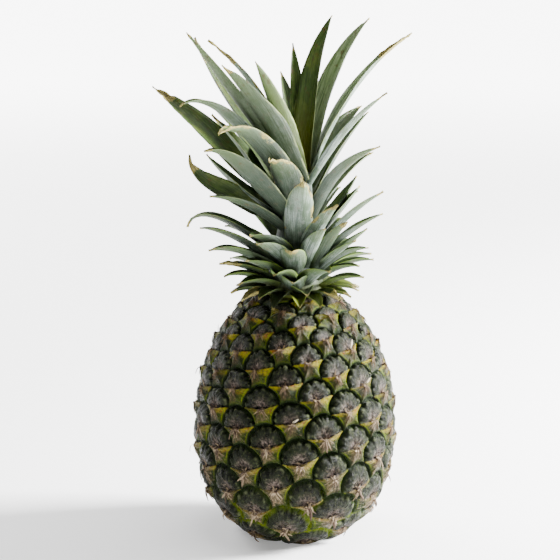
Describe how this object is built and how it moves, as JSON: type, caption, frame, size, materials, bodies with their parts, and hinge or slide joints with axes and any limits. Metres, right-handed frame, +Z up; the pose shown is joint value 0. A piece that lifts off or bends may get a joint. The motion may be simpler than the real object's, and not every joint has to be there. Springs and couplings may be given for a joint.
{
  "type": "pineapple with crown",
  "caption": "Whole pineapple standing on its base: a barrel-shaped fruit covered in spiral eyes, with a tall crown of pointed leaves on top.",
  "frame": {"origin": "centre of the flat cut face under the stalk, at the level that the fruit stands on", "axes": "+Z up along the fruit's axis to the crown; -Y is the side shown in the picture; +X is to the right in it"},
  "size_m": [0.1637, 0.1463, 0.3324],
  "materials": {
    "rind": "waxy, dull, olive and brown with dry papery tips",
    "leaf": "leathery, bloomed grey-green backs and dark green inner faces",
    "cut_fibre": "dry fibrous cut end"
  },
  "bodies": {
    "root": {"fruit": "rind", "crown": "leaf", "cut_stalk": "cut_fibre"}
  },
  "joints": []
}
